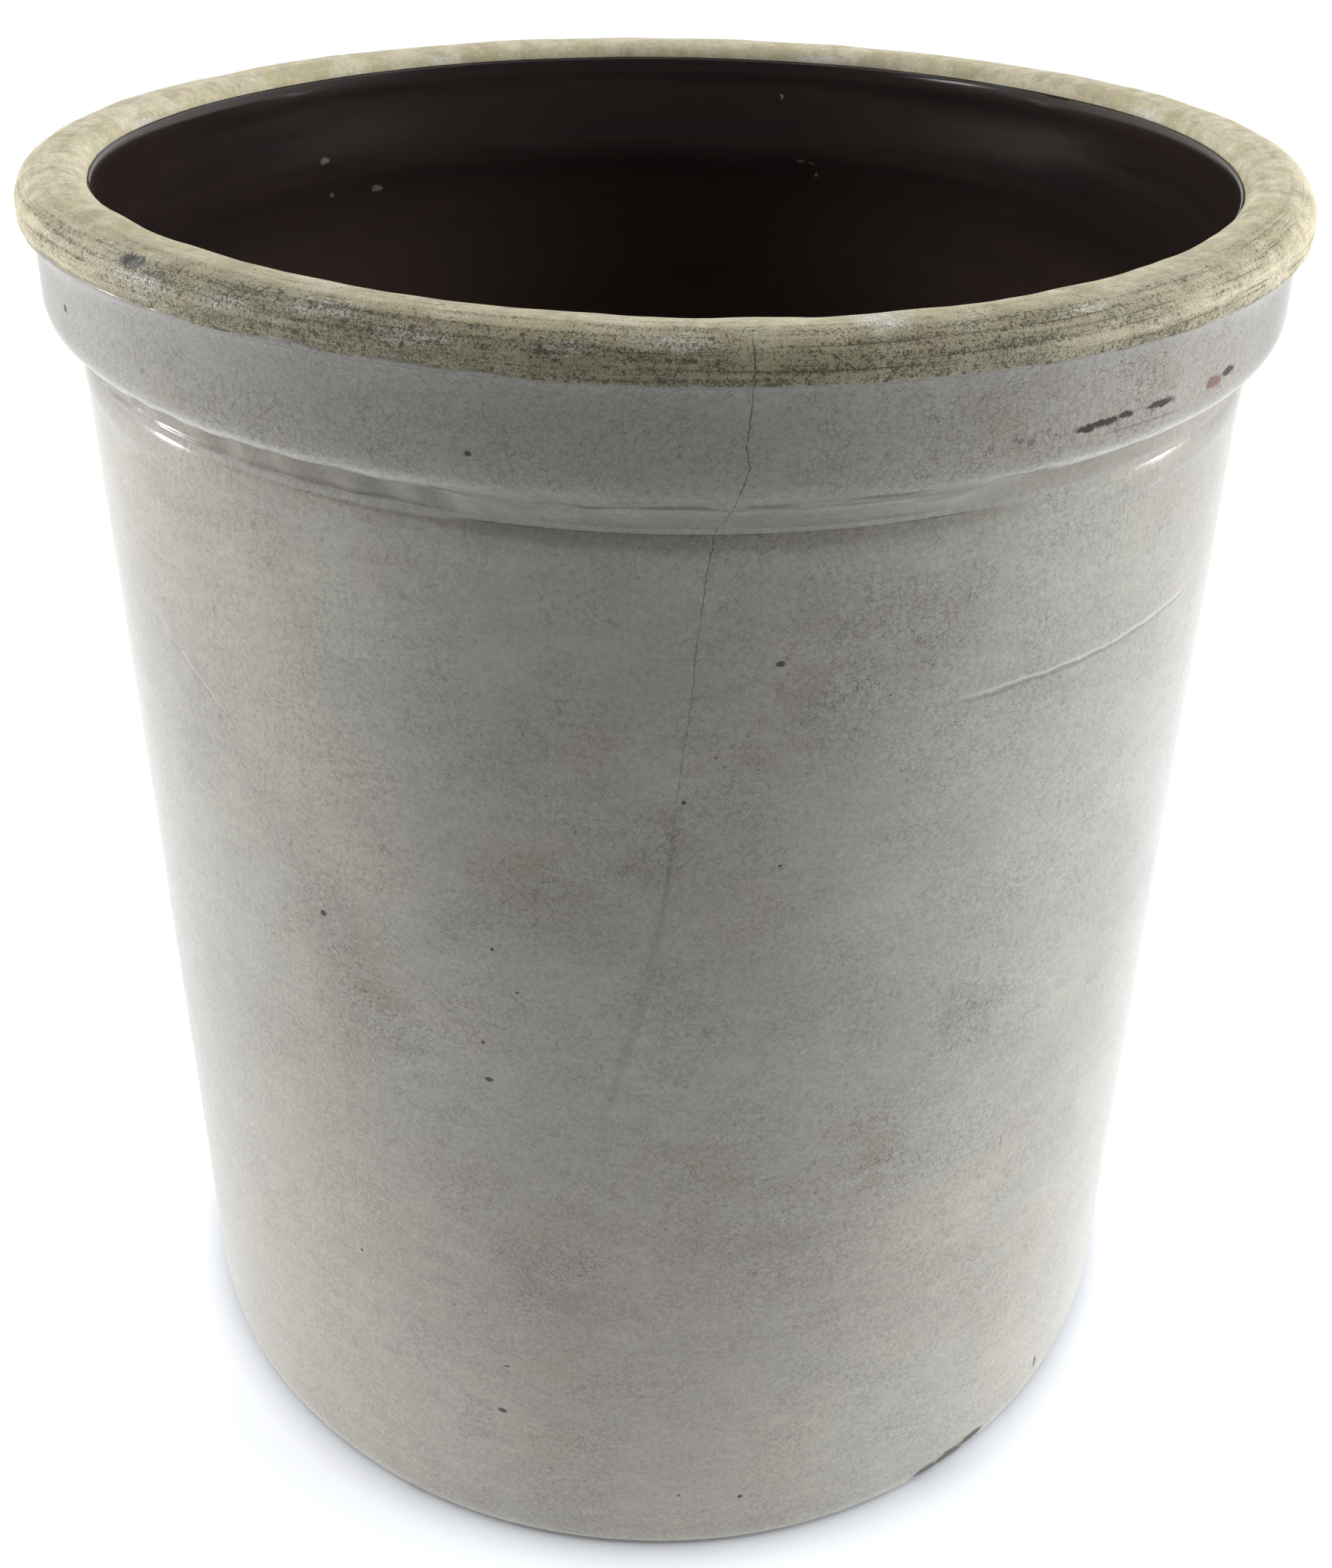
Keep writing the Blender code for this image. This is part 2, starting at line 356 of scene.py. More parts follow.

# The outer face is dirtier than the rubbed top, and the front of the lip is darker than its back, partly
# from dirt and partly from painted shade.
flat_place = add(clay, "VectorMath MULTIPLY", mm, (1, 1, 0))
out_from_axis = add(clay, "VectorMath LENGTH", flat_place)
outer_share = add(clay, "MapRange", out_from_axis, 123, 130)
front_share = add(clay, "MapRange", toward_front, 25, 122)
worn_share = add(clay, "MapRange", toward_front, -90, 40, 0.35, 1)
# The turning stretches every stain and pore to twice its height: this place runs slower round the lip.
turned_place = add(clay, "VectorMath MULTIPLY", mm, (0.5, 0.5, 0))
turned_place = add(clay, "VectorMath ADD", turned_place, add(clay, "CombineXYZ", 0, 0, along_lip))

# Streaks run round the lip as the sponge and the rib went: 40 mm long and about 1 mm high.
streak_place = add(clay, "VectorMath MULTIPLY", mm, (0.025, 0.025, 0))
streak_lift = add(clay, "CombineXYZ", 0, 0, add(clay, "Math MULTIPLY", along_lip, 0.8))
streak_point = add(clay, "VectorMath ADD", streak_place, streak_lift)
streaks = add(clay, "TexNoise", streak_point, Scale=1, Detail=5, Roughness=0.7)

# Patches 5 to 10 mm across turn the buff paler, grey, rosy or mossy, and grime with painted shade greys the
# front.
clouds = add(clay, "TexNoise", mm, Scale=0.11, Detail=6, Roughness=0.7)
cloud_share = add(clay, "MapRange", clouds.outputs["Fac"], 0.42, 0.58)
grey_share = add(clay, "MapRange", streaks, 0.50, 0.72, 0, 0.35)
tints = add(clay, "TexNoise", mm, Scale=0.15, Detail=5, Roughness=0.7).outputs["Color"]
tints = add(clay, "SeparateColor", tints)
rose_share = add(clay, "MapRange", tints.outputs[0], 0.51, 0.61, 0, 0.5)
moss_share = add(clay, "MapRange", tints.outputs[1], 0.51, 0.61, 0, 0.35)
moss_share = add(clay, "Math MULTIPLY", moss_share, worn_share)
# Painted shade with some grime: the front of the lip's outer face is greyed, most towards its outer edge.
grime_and_shade_share = add(clay, "MapRange", out_from_axis, 126, 132.5, 0.2, 0.6)
grime_and_shade_share = add(clay, "Math MULTIPLY", front_share, grime_and_shade_share)
buff = BUFF
for share, tint in (
    (cloud_share, BUFF_PALE), (grey_share, BUFF_GREY), (rose_share, ROSE), (moss_share, MOSS),
    (grime_and_shade_share, GRIME_AND_SHADE),
):
    buff = add(clay, "Mix RGBA", share, buff, tint)

# Wear and grain: soft blots 2 to 6 mm long, and the sandy body's paler and darker grains of 0.3 to 0.8 mm.
blots = add(clay, "TexNoise", turned_place, Scale=0.42, Detail=5, Roughness=0.75)
blot_light = add(clay, "MapRange", blots, 0.3, 0.7, 0.74, 1.22)
# The back of the lip is rubbed cleaner, so its blots are fainter.
blot_light = add(clay, "Mix", worn_share, 1, blot_light)
buff = add(clay, "VectorMath SCALE", buff, blot_light)
grain = add(clay, "TexNoise", mm, Scale=2.4, Detail=4, Roughness=0.8)
grain_light = add(clay, "MapRange", grain, 0.3, 0.7, 0.78, 1.20)
buff = add(clay, "VectorMath SCALE", buff, grain_light)

# Whitish smears of glaze dust on the lip's round: turn, height, width and tallness of each.
ROLL_RADIUS = 131
around_lip = add(clay, "Math MULTIPLY", round_turn, ROLL_RADIUS)
ragged = add(clay, "VectorMath SCALE", wobble(clay, mm, Scale=0.45, Detail=5, Roughness=0.7), 5)
lip_place = add(clay, "CombineXYZ", around_lip, height)
lip_place = add(clay, "VectorMath ADD", lip_place, ragged)
lip_place = add(clay, "VectorMath MULTIPLY", lip_place, (1, 1, 0))
SMEARS = [
    (-41, 291.4, 15, 1.8), (-31.5, 291.4, 10, 1.4), (-24.2, 292.7, 15, 1.8), (-17, 290.6, 17, 2),
    (1, 291.2, 12, 2), (15.4, 292.7, 9, 1.6), (-6, 290.6, 10, 1.2), (31, 291.5, 10, 1.2),
    (-100, 291, 14, 2), (110, 291.5, 12, 2), (160, 291, 18, 2), (-150, 291, 10, 1.5),
]


def dabs(material, place, radius, spots, solid, end, share, drawn=None):
    """Spots put on at a turn and a height, each as wide and tall as it says."""
    for spot_turn, spot_height, spot_width, spot_tall in spots:
        middle = (math.radians(spot_turn) * radius, spot_height, 0.0)
        away = add(material, "VectorMath SUBTRACT", place, middle)
        halves = (2 / spot_width, 2 / spot_tall, 0.0)
        away = add(material, "VectorMath MULTIPLY", away, halves)
        away = add(material, "VectorMath LENGTH", away)
        spot = add(material, "MapRange", away, solid, end, share, 0)
        if drawn is not None:
            spot = add(material, "Math MAXIMUM", drawn, spot)
        drawn = spot
    return drawn


smears = dabs(clay, lip_place, ROLL_RADIUS, SMEARS, 0.5, 1.3, 0.95)
smear_break = add(clay, "MapRange", grain, 0.42, 0.56)
smears = add(clay, "Math MULTIPLY", smears, smear_break)
buff = add(clay, "Mix RGBA", smears, buff, LIME)

# Iron specks and dirty pores are 0.1 to 0.8 mm across, in loose rows and clusters: three sizes of them,
# the finest drawn from 0.2 mm up to show.
speck_cluster = add(clay, "TexNoise", turned_place, Scale=0.16, Detail=4, Roughness=0.7)
cluster_lift = add(clay, "MapRange", speck_cluster, 0.35, 0.65, -0.03, 0.02)
outer_lift = add(clay, "MapRange", outer_share, 0, 1, -0.075, 0.02)
front_lift = add(clay, "MapRange", front_share, 0, 1, -0.085, 0.015)
streak_pull = add(clay, "MapRange", streaks, 0.3, 0.7, -0.06, 0.06)
lift = cluster_lift
for pull in (outer_lift, front_lift, streak_pull):
    lift = add(clay, "Math ADD", lift, pull)
specks = None
for speck_scale, from_level, to_level in ((3.4, 0.57, 0.63), (1.9, 0.58, 0.63), (0.9, 0.605, 0.64)):
    speck = add(clay, "TexNoise", mm, Scale=speck_scale, Detail=3, Roughness=0.75)
    speck = add(clay, "Math ADD", speck, lift)
    speck = add(clay, "MapRange", speck, from_level, to_level, 0, 0.9)
    if specks is not None:
        speck = add(clay, "Math MAXIMUM", specks, speck)
    specks = speck
stain = add(clay, "Math ADD", blots, lift)
stain = add(clay, "MapRange", stain, 0.46, 0.62, 0, 0.4)
buff = add(clay, "Mix RGBA", stain, buff, UMBER)

# Scores: hairlines that run a long way round the outer face, at chance heights about 1.5 mm apart.
score_wander = add(clay, "TexNoise", streak_place, Scale=1, Detail=1)
score_at = add(clay, "Math MULTIPLY", along_lip, 0.7)
score_at = add(clay, "Math ADD", score_at, score_wander)
score_edge = add(clay, "TexVoronoi", score_at, Scale=1, voronoi_dimensions="1D", feature="DISTANCE_TO_EDGE")
score_line = add(clay, "MapRange", score_edge, 0.04, 0.09, 1, 0)
score_break = add(clay, "MapRange", streaks, 0.49, 0.55, 0, 0.9)
scores = add(clay, "Math MULTIPLY", score_line, score_break)
# They are deepest right of the front, where a grain caught under the rib.
score_right = add(clay, "MapRange", axes.outputs[0], -20, 30, 0.3, 1)
score_low = add(clay, "MapRange", out_from_axis, 127.5, 131)
score_share = add(clay, "Math MULTIPLY", score_low, score_right)
scores = add(clay, "Math MULTIPLY", scores, score_share)

# Dirt has caught in a broken dark line where the clay meets the edge of the glaze.
edge_near = add(clay, "MapRange", rise, 286.7, 285.6)
edge_noise = add(clay, "TexNoise", mm, Scale=0.9, Detail=3)
edge_dots = add(clay, "MapRange", edge_noise, 0.53, 0.59)
edge_dirt = add(clay, "Math MULTIPLY", edge_near, edge_dots)

# The chip left of the front has a slate-grey blistered floor with sooty edges.
chip_middle = (math.radians(CHIP_TURN) * ROLL_RADIUS, CHIP_HEIGHT, 0)
chip_shake = add(clay, "VectorMath SCALE", ragged, -0.45)
chip_place = add(clay, "VectorMath ADD", lip_place, chip_shake)
chip_off = add(clay, "VectorMath SUBTRACT", chip_place, chip_middle)
chip_off = add(clay, "VectorMath MULTIPLY", chip_off, (0.30, 1.25, 0))
chip_away = add(clay, "VectorMath LENGTH", chip_off)
chip_floor = add(clay, "MapRange", chip_away, 0.85, 1.05, 1, 0)
buff = add(clay, "Mix RGBA", chip_floor, buff, SLATE)
blisters = add(clay, "TexVoronoi", chip_place, Scale=0.5, feature="DISTANCE_TO_EDGE")
blisters = add(clay, "MapRange", blisters, 0.04, 0.12, 0.95, 0)
chip = add(clay, "Math MULTIPLY", chip_floor, blisters)

# The crack in the glaze begins in the lip, as a dark hairline down its outer face.
split_shake = add(clay, "MapRange", streaks, 0, 1, 5.55, 6.15)
split_turn = add(clay, "Math MULTIPLY", round_turn, math.degrees(1))
split_off = add(clay, "Math SUBTRACT", split_turn, split_shake)
split_off = add(clay, "Math ABSOLUTE", split_off)
split = add(clay, "MapRange", split_off, 0.04, 0.09, 0.9, 0)
split = add(clay, "Math MULTIPLY", split, score_low)

dirt = add(clay, "Math MAXIMUM", specks, scores)
for mark in (edge_dirt, chip, split):
    dirt = add(clay, "Math MAXIMUM", dirt, mark)
dirt_share = add(clay, "Math MULTIPLY", dirt, 0.85)
buff = add(clay, "Mix RGBA", dirt_share, buff, IRON_SPECK)

tooth = add(clay, "TexNoise", mm, Scale=1.6, Detail=4, Roughness=0.6)
pitted = add(clay, "Math MULTIPLY", dirt, -0.8)
relief = add(clay, "Math ADD", tooth, pitted)
relief = add(clay, "Math ADD", relief, streaks)
# Distance is the depth of the tooth: about 0.12 mm.
bump = add(clay, "Bump", Strength=0.7, Distance=0.00012, Height=relief)
rough = add(clay, "MapRange", streaks, 0.3, 0.7, 0.5, 0.72)
feed(clay, clay_shader, {"Base Color": buff, "Roughness": rough, "Normal": bump, "IOR": 1.5})
pot.data.materials.append(clay)
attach(pot, "root")
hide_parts("stoneware_body")


# The outer glaze is a pale felspar glaze about 0.7 mm thick, dipped and fired on the outside only.
# It pools in the neck, laps raggedly on the lip's lower corner, and has crazed all over with age.
GLAZE_OUT, GLAZE_UNDER = 1.0, 0.3
LAP_OUT, LAP_TOP = 0.14, 286.0
GLAZE_COLUMNS = 560
lap = rib((LIP_RADIUS, LAP_TOP + 1.4), (LIP_RADIUS, LIP_UNDERSIDE + LIP_CORNER), 0.25)
lap += bow((LIP_RADIUS - LIP_CORNER, LIP_UNDERSIDE + LIP_CORNER), LIP_CORNER, LIP_CORNER, 0, -90, 4)[1:]
glaze_face = [tuple(p) for p in laid_on(lap, LAP_OUT)]
# It fills the corner between the lip and the collar with a soft round.
CORNER_FILL = 4.2
corner_to = (COLLAR_TOP_RADIUS + GLAZE_OUT, LIP_UNDERSIDE - CORNER_FILL)
for part in np.linspace(0, 1, 8)[1:-1]:
    by_lip, by_collar = np.array((LIP_RADIUS - LIP_CORNER, LIP_UNDERSIDE - LAP_OUT)), np.array(corner_to)
    pull = np.array((COLLAR_TOP_RADIUS + GLAZE_OUT + 0.5, LIP_UNDERSIDE - 1.0))
    glaze_face.append(tuple((1 - part) ** 2 * by_lip + 2 * part * (1 - part) * pull + part**2 * by_collar))
glaze_face += [tuple(p) for p in laid_on(collar, GLAZE_OUT) if p[1] < corner_to[1]]
# In front the coat has run down and fills the groove to a slope. Round the sides the groove stays open.
NECK_ROWS = 46
slope = [collar[-1]] + rib(collar[-1], (NECK_RADIUS, NECK_BOTTOM), 0.45) + shoulder
front_neck = spread(laid_on(slope, GLAZE_OUT), NECK_ROWS)
# Radius and height of the points that the coat follows there, down from the collar's edge to the shoulder.
SIDE_NECK = [
    (125.5, 263.95), (124.95, 263.7), (124.68, 263.2), (124.6, 262.4), (124.6, 260.0), (124.55, 258.9),
    (124.3, 258.2), (124.32, 257.8), (124.42, 257.3), (124.64, 256.3), (124.80, 255.3), (124.88, 254.3),
    (124.88, 253.3), (124.78, 252.3),
]
side_neck = laid_on([collar[-1]] + groove[:5], GLAZE_OUT).tolist() + SIDE_NECK + [tuple(front_neck[-1])]
side_neck = spread(side_neck, NECK_ROWS)
neck_from = len(glaze_face) - 1
glaze_face = glaze_face[:-1] + front_neck.tolist()
# At the foot the coat thins away, wiped off the ring that the pot stands on.
low = wall + glazed_foot
low_depth = np.full(len(low), GLAZE_OUT)
low_depth[-len(glazed_foot) :] = np.linspace(GLAZE_OUT, 0.25, len(glazed_foot))
glaze_face += laid_on(low, low_depth).tolist()
low_under = laid_on(low, np.minimum(GLAZE_UNDER, low_depth - 0.15)).tolist()[::6]
glaze_back = laid_on(collar + groove + shoulder, GLAZE_UNDER).tolist()[::4] + low_under
glaze_back = glaze_back[::-1]
glaze_back += [(COLLAR_TOP_RADIUS + 0.3, LIP_UNDERSIDE + 0.3), (LIP_RADIUS - 1.0, LIP_UNDERSIDE + 1.0)]
glaze_outline = glaze_face + glaze_back
turn = np.arange(GLAZE_COLUMNS) * 360.0 / GLAZE_COLUMNS - 180.0
glaze_heights = np.array(glaze_outline)[:, 1]
face_rows = slice(0, len(glaze_face))
glaze_swell = np.zeros((len(glaze_outline), GLAZE_COLUMNS))
glaze_shift = np.zeros((len(glaze_outline), GLAZE_COLUMNS, 2))
SHUT_FROM, SHUT_TO, SHUT_SOFTLY = -15.0, 25.0, 2.5
open_groove = soft_step(turn, SHUT_FROM, -SHUT_SOFTLY) + soft_step(turn, SHUT_TO, SHUT_SOFTLY)
to_side = (side_neck - front_neck)[:, None, :]
glaze_shift[neck_from : neck_from + NECK_ROWS] = open_groove[None, :, None] * to_side
heights = glaze_heights[face_rows]

# The edge of the lap wanders up and down the lip's corner; above it the coat runs under the clay.
edge = LAP_TOP - 0.9 + 0.20 * uneven(turn, [0.0], 14, 12.0, 21)[0]
edge += 0.14 * uneven(turn, [0.0], 12, 3.0, 22)[0]
edge += 0.8 * soft_step(turn, -10.0, -0.4) * (turn > -62)
above = ramp(heights[: len(lap), None], edge[None, :], 0.35)
glaze_swell[: len(lap)] -= above * (LAP_OUT + 0.25)

# The coat is wavy on the wall and collar, and pooled glaze stands in lumps in the neck, most on the left.
# Each has its place, a depth in millimetres, and the number, reach and seed of its waves.
on_wall = ramp(heights, 262.0, -10.0)[:, None]
on_collar = hump(heights, 275.0, 9.0, 4)[:, None]
more_left = 0.35 + 0.65 * soft_step(turn, -12.0, -9.0)
in_neck = hump(heights, 261.6, 3.4, 4)[:, None] * more_left[None, :]
for share, depth, count, reach, seed in (
    (on_wall, 0.045, 10, 60.0, 31), (on_collar, 0.05, 10, 35.0, 32), (in_neck, 0.28, 18, 8.0, 33),
):
    glaze_swell[face_rows] += share * depth * uneven(turn, heights, count, reach, seed)
# Rings of the throwing, about 11 mm apart and 0.018 mm high, show on the wall.
RING_GAP, RING_RISE = 11.0, 0.018
throwing = np.cos(heights * math.tau / RING_GAP + 0.9 * np.cos(heights / 37.0))
glaze_swell[face_rows] += on_wall * RING_RISE * throwing[:, None]
# On the left, and less on the far right, the pooled glaze's lower edge stands up in a bead over a crease.
BEAD_HEIGHT, CREASE_HEIGHT = 259.2, 257.9
side_heights = heights.copy()
side_heights[neck_from : neck_from + NECK_ROWS] = side_neck[:, 1]
bead = hump(side_heights, BEAD_HEIGHT, 0.5)[:, None] * (0.50 + 0.14 * uneven(turn, [0.0], 14, 10.0, 35))
bead -= 0.22 * hump(side_heights, CREASE_HEIGHT, 0.6)[:, None]
bead_left = soft_step(turn, -17.0, -3.0) * soft_step(turn, -95.0, 6.0)
bead_right = 0.7 * soft_step(turn, 50.0, 4.0) * soft_step(turn, 100.0, -8.0)
glaze_swell[face_rows] += bead * (bead_left + bead_right)[None, :]
# In front the pooled glaze is creased once along the neck.
wrinkle = hump(heights, WRINKLE, 0.5)[:, None]
in_front = np.clip(1 - open_groove, 0, 1)
glaze_swell[face_rows] -= wrinkle * (0.12 + 0.06 * uneven(turn, [0.0], 8, 30.0, 34)) * in_front[None, :]

# A slipped rib left one raised line on the right of the wall, and on the left a drip of the glaze ran
# aslant down it as a finer one. Of each: the turns it runs between, its first height and its rise a degree.
RIDGE = (23, 57, 220.4, 0.05)
DRIP = (-54, -41.5, 218, -1.13)
for (line_from, line_to, line_height, line_rise), fade_in, fade_out, half_wide, high in (
    (RIDGE, 6.0, 5.0, 1.0, 0.36), (DRIP, 2.0, 3.0, 0.9, 0.30),
):
    line_share = ramp(turn, line_from, fade_in) * ramp(turn, line_to, -fade_out)
    line = line_height + (turn - line_from) * line_rise
    glaze_swell[face_rows] += high * hump(heights[:, None], line[None, :], half_wide) * line_share[None, :]

glaze_coat = thrown("crackled_glaze_coat", glaze_outline, GLAZE_COLUMNS, glaze_swell, glaze_shift, ring=True)

# Round the sides a pale band under the collar's edge is a painted highlight, and the groove below it is
# painted shade: how much of each every point has.
for name, middle, reach, power in (("edge_highlight", 265.3, 1.4, 2), ("groove", 261.3, 2.6, 4)):
    share = np.zeros((len(glaze_outline), GLAZE_COLUMNS))
    share[face_rows] = hump(side_heights, middle, reach, power)[:, None] * (1 - in_front)[None, :]
    keep(glaze_coat.data, name, share.ravel())

# Soft patches are kept per point: rusty blushes, cool blue patches, warm cream ones that on the left flank
# are partly painted light, dirtier crazing, and painted shade round the collar's sides and back. Each has a
# turn, a height and a size.
PATCHES = {
    "blush": [
        (-28.8, 152.6, 7), (-31.6, 130.4, 7), (-25.8, 164.3, 6), (-5.7, 215.8, 4), (3.6, 116.1, 10),
        (-9.2, 95.9, 8), (-9.8, 57.4, 9), (-9.8, 35.8, 9), (27.2, 271.3, 3), (-58, 272, 6),
        (-48, 270, 8), (-42, 268.5, 7), (-36, 267, 6), (-29, 267.5, 6), (8, 182, 8), (-12, 190, 8),
        (20, 120, 9), (40, 60, 12), (100, 140, 12), (150, 90, 10), (-150, 200, 12), (-110, 70, 12),
        (-170, 130, 9),
    ],
    "cool": [
        (20.3, 179.8, 18), (26, 209.4, 20), (38.7, 182.2, 22), (33, 150, 20), (34, 238, 18),
        (28, 118, 16), (-8, 160, 12), (120, 200, 26), (-140, 120, 26),
    ],
    "warm": [
        (-43.5, 256.4, 16), (-37, 232, 22), (-28, 238, 16), (-32, 204, 24), (-27, 180, 18),
        (-18, 148, 22), (-2, 140, 20), (29.9, 91.6, 22), (-30, 90, 26), (-20, 40, 26), (15, 30, 24),
        (170, 220, 30), (90, 60, 26),
    ],
    "dirty": [
        (14, 226, 13), (21, 236, 10), (7, 216, 9), (0, 196, 9), (-9, 186, 9), (26, 276, 11),
        (38, 276, 12), (50, 274, 10), (-31, 166, 10), (-30, 156, 8), (-26, 146, 12), (11, 100, 16),
        (22, 112, 12), (-10, 84, 12), (30, 146, 10), (-44, 273, 3), (80, 270, 16), (140, 180, 20),
        (-130, 160, 20), (-170, 60, 18),
    ],
    "side_shade": [
        (-84, 274, 30), (-66, 274, 18), (82, 274, 32), (62, 272, 20), (150, 270, 22),
    ],
}
COAT_RADIUS = 125
spots = np.empty(len(glaze_coat.data.vertices) * 3)
glaze_coat.data.vertices.foreach_get("co", spots)
spots = spots.reshape(-1, 3) * 1000
for name, patches in PATCHES.items():
    share = np.zeros(len(spots))
    for patch_turn, patch_height, patch_size in patches:
        at = math.radians(patch_turn)
        middle = (COAT_RADIUS * math.sin(at), -COAT_RADIUS * math.cos(at), patch_height)
        share = np.maximum(share, hump(np.linalg.norm(spots - middle, axis=1), 0, patch_size))
    keep(glaze_coat.data, name, share)

# Crackled felspar glaze: glassy, IOR 1.5, with a soft orange-peel ripple. The body greys through it in
# cool and warm clouds, and old dirt in the craze lines draws them brown.
glaze, glaze_shader = surface("crackled felspar glaze")
GLAZE_GREY, GLAZE_WARM, GLAZE_COOL, GLAZE_POOL = "#A5A299", "#B9B4A7", "#ADB2AC", "#A1A29A"
GLAZE_COLLAR, GLAZE_SIDE_SHADE, GLAZE_BLUSH, GLAZE_GROOVE_SHADE = "#9C9A93", "#726E69", "#AF9B8A", "#98948B"
GLAZE_PAINTED_HIGHLIGHT, GLAZE_LOW, CRACK_BLUE = "#DEDCD6", "#B0A99D", "#7E8688"
CRAZE_BROWN, CRAZE_RUST, SOOT, RUST, BARK = "#544A40", "#7A6048", "#1C150F", "#5C2A14", "#5E483C"
mm, axes, _, round_turn = placed(glaze)
height = axes.outputs[2]
# Millimetres round the wall from the front.
around = add(glaze, "Math MULTIPLY", round_turn, COAT_RADIUS)

clouds = add(glaze, "TexNoise", mm, Scale=0.016, Detail=4, Roughness=0.6).outputs["Color"]
clouds = add(glaze, "SeparateColor", clouds)
warm_tone_and_light_patch, cool_patch, blush_patch, craze_patch, side_shade_patch, rise, edge_highlight_share, groove_shade_share = (
    add(glaze, "Attribute", attribute_name=name).outputs["Fac"]
    for name in ("warm", "cool", "blush", "dirty", "side_shade", "rise", "edge_highlight", "groove")
)
colour = GLAZE_GREY
# Warm cream patches are partly the glaze's own tone and, on the left flank, partly painted light.
for patch, cloud, low, high, most, tint in (
    (warm_tone_and_light_patch, clouds.outputs[0], 0.45, 0.72, 0.8, GLAZE_WARM),
    (cool_patch, clouds.outputs[1], 0.48, 0.74, 0.7, GLAZE_COOL),
):
    share = add(glaze, "MapRange", cloud, low, high)
    share = add(glaze, "Math MAXIMUM", patch, share)
    share = add(glaze, "Math MULTIPLY", share, most)
    colour = add(glaze, "Mix RGBA", share, colour, tint)
collar_share = add(glaze, "MapRange", height, 256, 276, 0, 0.7)
low_share = add(glaze, "MapRange", height, 190, 90, 0, 0.7)
low_left = add(glaze, "MapRange", axes.outputs[0], 10, 70, 1, 0.2)
low_share = add(glaze, "Math MULTIPLY", low_share, low_left)
# Painted shade darkens the collar round its sides and at the back.
side_shade_share = add(glaze, "Math MULTIPLY", side_shade_patch, 0.9)
# The neck, where the glaze lies thick, is greener and hardly crazed.
neck_above = add(glaze, "MapRange", rise, 257.8, 258.8)
neck_below = add(glaze, "MapRange", rise, 263.5, 267, 1, 0)
in_pool = add(glaze, "Math MULTIPLY", neck_above, neck_below)
pool_share = add(glaze, "Math MULTIPLY", in_pool, 0.7)
# Painted highlight: a pale band along the collar's lower edge round the sides.
edge_highlight_share = add(glaze, "Math MULTIPLY", edge_highlight_share, 0.75)
for share, tint in (
    (collar_share, GLAZE_COLLAR), (low_share, GLAZE_LOW), (side_shade_share, GLAZE_SIDE_SHADE),
    # The collar's edge band gets a painted highlight and the open groove gets painted shade.
    (pool_share, GLAZE_POOL), (edge_highlight_share, GLAZE_PAINTED_HIGHLIGHT), (groove_shade_share, GLAZE_GROOVE_SHADE),
):
    colour = add(glaze, "Mix RGBA", share, colour, tint)

# Mottling: grains of the clay show through as darker and paler flecks 0.3 to 1 mm across, over soft clouds
# 12 mm long and 3 mm high that the throwing has drawn out sideways.
mottle = add(glaze, "TexNoise", mm, Scale=0.9, Detail=5, Roughness=0.8)
mottle_light = add(glaze, "MapRange", mottle, 0.3, 0.7, 0.80, 1.16)
colour = add(glaze, "VectorMath SCALE", colour, mottle_light)
drawn_out = add(glaze, "VectorMath MULTIPLY", mm, (0.08, 0.08, 0.32))
haze = add(glaze, "TexNoise", drawn_out, Scale=1, Detail=4, Roughness=0.65)
haze_light = add(glaze, "MapRange", haze, 0.3, 0.7, 0.94, 1.06)
colour = add(glaze, "VectorMath SCALE", colour, haze_light)

# Crazing: a first net of cells near 1.8 mm, and within it a second of 0.9 mm. Its lines are 0.05 to 0.1 mm
# wide, wander, and show only where dirt has got into them.
wander = add(glaze, "VectorMath SCALE", wobble(glaze, mm, Scale=1.4, Detail=1), 0.4)
craze_place = add(glaze, "VectorMath ADD", mm, wander)
craze_zone = add(glaze, "TexNoise", mm, Scale=0.07, Detail=5, Roughness=0.75)
craze_level = add(glaze, "MapRange", craze_zone, 0.40, 0.60, 0.10, 0.62)
craze_collar = add(glaze, "MapRange", height, 262, 267, 0, 0.28)
craze_level = add(glaze, "Math ADD", craze_level, craze_collar)
for dirt_patch, dirt_rise in ((blush_patch, 0.30), (craze_patch, 0.5)):
    dirt_lift = add(glaze, "Math MULTIPLY", dirt_patch, dirt_rise)
    craze_level = add(glaze, "Math ADD", craze_level, dirt_lift)
out_of_pool = add(glaze, "MapRange", in_pool, 0, 1, 1, 0.12)
craze_level = add(glaze, "Math MULTIPLY", craze_level, out_of_pool)
craze = None
for net_scale, line_end, net_share, break_low in ((0.62, 0.048, 0.9, 0.45), (1.25, 0.085, 0.75, 0.30)):
    net = add(glaze, "TexVoronoi", craze_place, Scale=net_scale, feature="DISTANCE_TO_EDGE")
    net_line = add(glaze, "MapRange", net, 0.01, line_end, net_share, 0)
    net_break = add(glaze, "MapRange", mottle, 0.38, 0.60, 1, break_low)
    net_line = add(glaze, "Math MULTIPLY", net_line, net_break)
    if craze is not None:
        net_line = add(glaze, "Math MAXIMUM", craze, net_line)
    craze = net_line
craze = add(glaze, "Math MULTIPLY", craze, craze_level)
# Rust blushes, where iron in the body has bled: the lines turn rusty and the glass between them warms.
blush_grain = add(glaze, "TexNoise", mm, Scale=0.12, Detail=6, Roughness=0.75)
blush_grain = add(glaze, "MapRange", blush_grain, 0.44, 0.60)
blush = add(glaze, "Math MULTIPLY", blush_patch, blush_grain)
blush_share = add(glaze, "Math MULTIPLY", blush, 0.45)
colour = add(glaze, "Mix RGBA", blush_share, colour, GLAZE_BLUSH)
